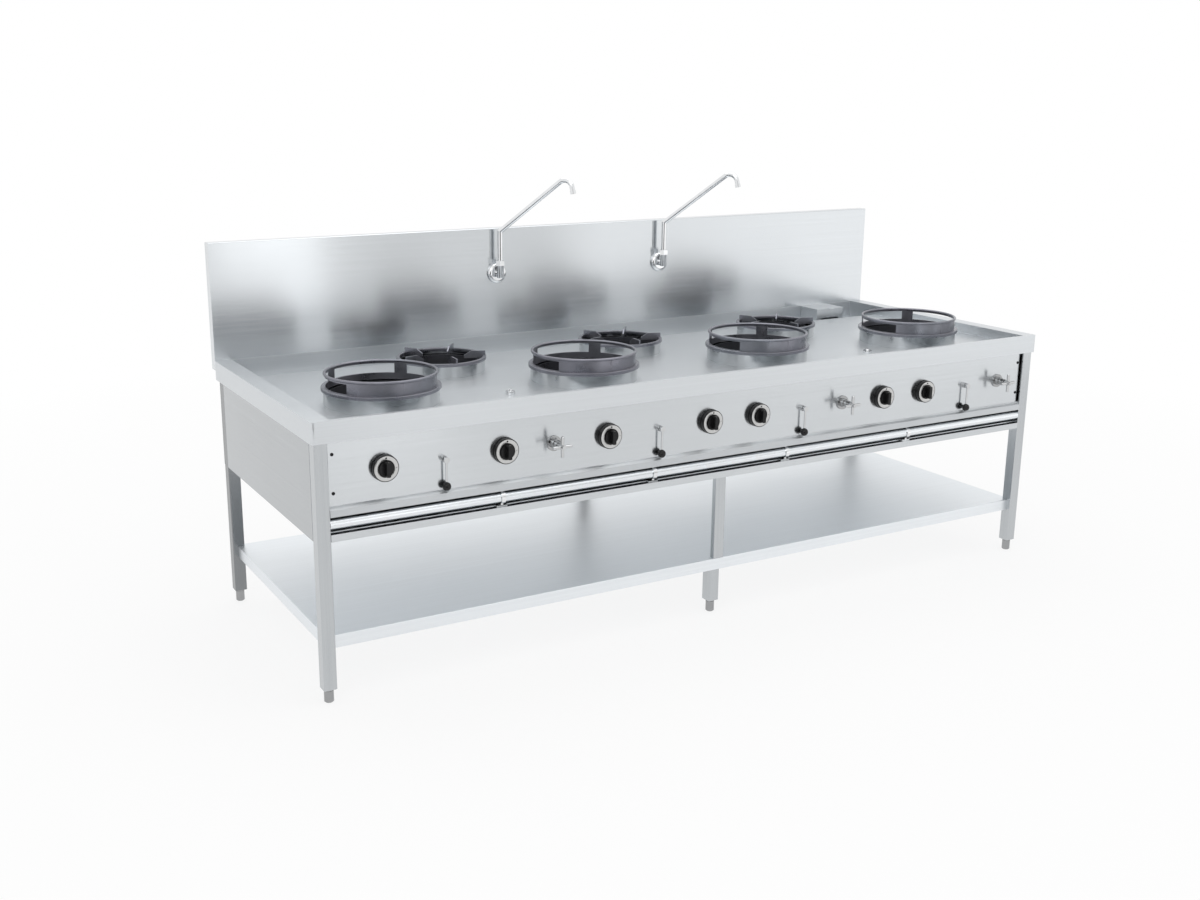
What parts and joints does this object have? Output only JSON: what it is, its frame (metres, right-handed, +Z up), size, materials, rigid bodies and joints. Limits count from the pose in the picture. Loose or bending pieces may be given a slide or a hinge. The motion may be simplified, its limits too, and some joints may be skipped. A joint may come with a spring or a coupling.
{
  "type": "gas wok range",
  "caption": "Freestanding stainless gas wok range with wind-shield wok rings, low pan burners, sunk deck, rear gutter, backsplash, swivel spouts, levers and an open lower shelf.",
  "frame": {"origin": "on the floor, under the middle of the overall length and depth", "axes": "+X along the length to the cook's right, +Y from the cook towards the backsplash, +Z up"},
  "size_m": [2.8, 1.046, 1.4199],
  "materials": {
    "stainless": "satin",
    "chrome": "polished",
    "cast_iron": "matt, heat tinted",
    "black_plastic": "satin",
    "ceramic": "glazed",
    "brass": "as machined",
    "pipe_steel": "zinc coated"
  },
  "bodies": {
    "frame": {"front_legs": "stainless", "rear_legs": "stainless", "top_tray": "stainless", "side_panels": "stainless", "bottom_panel": "stainless", "rear_panel": "stainless", "control_panel": "stainless", "backsplash": "stainless", "shelf": "stainless", "frame_beams": "stainless", "front_rail": "chrome", "rail_brackets": "chrome", "panel_screws": "chrome", "burner_collars": "stainless", "burner_wells": "cast_iron", "wok_burners": "cast_iron", "rear_burners": "cast_iron", "igniters": "ceramic", "knob_bezels": "black_plastic", "gas_valves": "brass", "water_valves": "chrome", "gas_manifold": "pipe_steel", "water_header": "pipe_steel", "deck_nozzles": "chrome", "tap_bodies": "chrome", "drain_pipe": "pipe_steel"},
    "gas_knob_1": {"gas_knob_1": "black_plastic"},
    "gas_knob_2": {"gas_knob_2": "black_plastic"},
    "gas_knob_3": {"gas_knob_3": "black_plastic"},
    "gas_knob_4": {"gas_knob_4": "black_plastic"},
    "gas_knob_5": {"gas_knob_5": "black_plastic"},
    "gas_knob_6": {"gas_knob_6": "black_plastic"},
    "gas_knob_7": {"gas_knob_7": "black_plastic"},
    "lever_1": {"lever_rod_1": "chrome", "lever_ball_1": "black_plastic"},
    "lever_2": {"lever_rod_2": "chrome", "lever_ball_2": "black_plastic"},
    "lever_3": {"lever_rod_3": "chrome", "lever_ball_3": "black_plastic"},
    "lever_4": {"lever_rod_4": "chrome", "lever_ball_4": "black_plastic"},
    "cross_handle_1": {"cross_handle_1": "chrome"},
    "cross_handle_2": {"cross_handle_2": "chrome"},
    "cross_handle_3": {"cross_handle_3": "chrome"},
    "spout_1": {"spout_1": "chrome"},
    "spout_2": {"spout_2": "chrome"},
    "wok_ring_1": {"wok_ring_1": "cast_iron"},
    "wok_ring_2": {"wok_ring_2": "cast_iron"},
    "wok_ring_3": {"wok_ring_3": "cast_iron"},
    "wok_ring_4": {"wok_ring_4": "cast_iron"},
    "pan_support_1": {"pan_support_1": "cast_iron"},
    "pan_support_2": {"pan_support_2": "cast_iron"},
    "pan_support_3": {"pan_support_3": "cast_iron"},
    "drain_cover": {"drain_cover": "stainless"},
    "front_left_foot": {"front_left_foot": "chrome"},
    "front_middle_foot": {"front_middle_foot": "chrome"},
    "front_right_foot": {"front_right_foot": "chrome"},
    "rear_left_foot": {"rear_left_foot": "chrome"},
    "rear_middle_foot": {"rear_middle_foot": "chrome"},
    "rear_right_foot": {"rear_right_foot": "chrome"}
  },
  "joints": [
    {"name": "gas_knob_1_turn", "type": "hinge", "parent": "frame", "child": "gas_knob_1", "pos_m": [-1.1845, -0.469, 0.681], "axis": [0, 1, 0], "range_deg": [-210, 0]},
    {"name": "gas_knob_2_turn", "type": "hinge", "parent": "frame", "child": "gas_knob_2", "pos_m": [-0.8018, -0.469, 0.681], "axis": [0, 1, 0], "range_deg": [-210, 0]},
    {"name": "gas_knob_3_turn", "type": "hinge", "parent": "frame", "child": "gas_knob_3", "pos_m": [-0.4422, -0.469, 0.681], "axis": [0, 1, 0], "range_deg": [-210, 0]},
    {"name": "gas_knob_4_turn", "type": "hinge", "parent": "frame", "child": "gas_knob_4", "pos_m": [-0.0584, -0.469, 0.681], "axis": [0, 1, 0], "range_deg": [-210, 0]},
    {"name": "gas_knob_5_turn", "type": "hinge", "parent": "frame", "child": "gas_knob_5", "pos_m": [0.1329, -0.469, 0.681], "axis": [0, 1, 0], "range_deg": [-210, 0]},
    {"name": "gas_knob_6_turn", "type": "hinge", "parent": "frame", "child": "gas_knob_6", "pos_m": [0.6758, -0.469, 0.681], "axis": [0, 1, 0], "range_deg": [-210, 0]},
    {"name": "gas_knob_7_turn", "type": "hinge", "parent": "frame", "child": "gas_knob_7", "pos_m": [0.8682, -0.469, 0.681], "axis": [0, 1, 0], "range_deg": [-210, 0]},
    {"name": "lever_1_turn", "type": "hinge", "parent": "frame", "child": "lever_1", "pos_m": [-0.998, -0.473, 0.681], "axis": [0, 1, 0], "range_deg": [-90, 0]},
    {"name": "lever_2_turn", "type": "hinge", "parent": "frame", "child": "lever_2", "pos_m": [-0.2526, -0.473, 0.681], "axis": [0, 1, 0], "range_deg": [-90, 0]},
    {"name": "lever_3_turn", "type": "hinge", "parent": "frame", "child": "lever_3", "pos_m": [0.3218, -0.473, 0.681], "axis": [0, 1, 0], "range_deg": [-90, 0]},
    {"name": "lever_4_turn", "type": "hinge", "parent": "frame", "child": "lever_4", "pos_m": [1.0695, -0.473, 0.681], "axis": [0, 1, 0], "range_deg": [-90, 0]},
    {"name": "cross_handle_1_turn", "type": "hinge", "parent": "frame", "child": "cross_handle_1", "pos_m": [-0.6347, -0.509, 0.681], "axis": [0, 1, 0], "range_deg": [-540, 0]},
    {"name": "cross_handle_2_turn", "type": "hinge", "parent": "frame", "child": "cross_handle_2", "pos_m": [0.4953, -0.509, 0.681], "axis": [0, 1, 0], "range_deg": [-540, 0]},
    {"name": "cross_handle_3_turn", "type": "hinge", "parent": "frame", "child": "cross_handle_3", "pos_m": [1.2338, -0.509, 0.681], "axis": [0, 1, 0], "range_deg": [-540, 0]},
    {"name": "spout_1_swivel", "type": "hinge", "parent": "frame", "child": "spout_1", "pos_m": [-0.353, 0.45, 1.1], "axis": [0, 0, 1], "range_deg": [-123, 56]},
    {"name": "spout_2_swivel", "type": "hinge", "parent": "frame", "child": "spout_2", "pos_m": [0.355, 0.45, 1.1], "axis": [0, 0, 1], "range_deg": [-123, 56]},
    {"name": "wok_ring_1_lift", "type": "slide", "parent": "frame", "child": "wok_ring_1", "axis": [0, 0, 1], "range_m": [0, 0.08]},
    {"name": "wok_ring_2_lift", "type": "slide", "parent": "frame", "child": "wok_ring_2", "axis": [0, 0, 1], "range_m": [0, 0.08]},
    {"name": "wok_ring_3_lift", "type": "slide", "parent": "frame", "child": "wok_ring_3", "axis": [0, 0, 1], "range_m": [0, 0.08]},
    {"name": "wok_ring_4_lift", "type": "slide", "parent": "frame", "child": "wok_ring_4", "axis": [0, 0, 1], "range_m": [0, 0.08]},
    {"name": "pan_support_1_lift", "type": "slide", "parent": "frame", "child": "pan_support_1", "axis": [0, 0, 1], "range_m": [0, 0.06]},
    {"name": "pan_support_2_lift", "type": "slide", "parent": "frame", "child": "pan_support_2", "axis": [0, 0, 1], "range_m": [0, 0.06]},
    {"name": "pan_support_3_lift", "type": "slide", "parent": "frame", "child": "pan_support_3", "axis": [0, 0, 1], "range_m": [0, 0.06]},
    {"name": "drain_cover_lift", "type": "slide", "parent": "frame", "child": "drain_cover", "axis": [0, 0, 1], "range_m": [0, 0.08]},
    {"name": "front_left_foot_screw", "type": "slide", "parent": "frame", "child": "front_left_foot", "axis": [0, 0, -1], "range_m": [0, 0.03]},
    {"name": "front_middle_foot_screw", "type": "slide", "parent": "frame", "child": "front_middle_foot", "axis": [0, 0, -1], "range_m": [0, 0.03]},
    {"name": "front_right_foot_screw", "type": "slide", "parent": "frame", "child": "front_right_foot", "axis": [0, 0, -1], "range_m": [0, 0.03]},
    {"name": "rear_left_foot_screw", "type": "slide", "parent": "frame", "child": "rear_left_foot", "axis": [0, 0, -1], "range_m": [0, 0.03]},
    {"name": "rear_middle_foot_screw", "type": "slide", "parent": "frame", "child": "rear_middle_foot", "axis": [0, 0, -1], "range_m": [0, 0.03]},
    {"name": "rear_right_foot_screw", "type": "slide", "parent": "frame", "child": "rear_right_foot", "axis": [0, 0, -1], "range_m": [0, 0.03]}
  ]
}
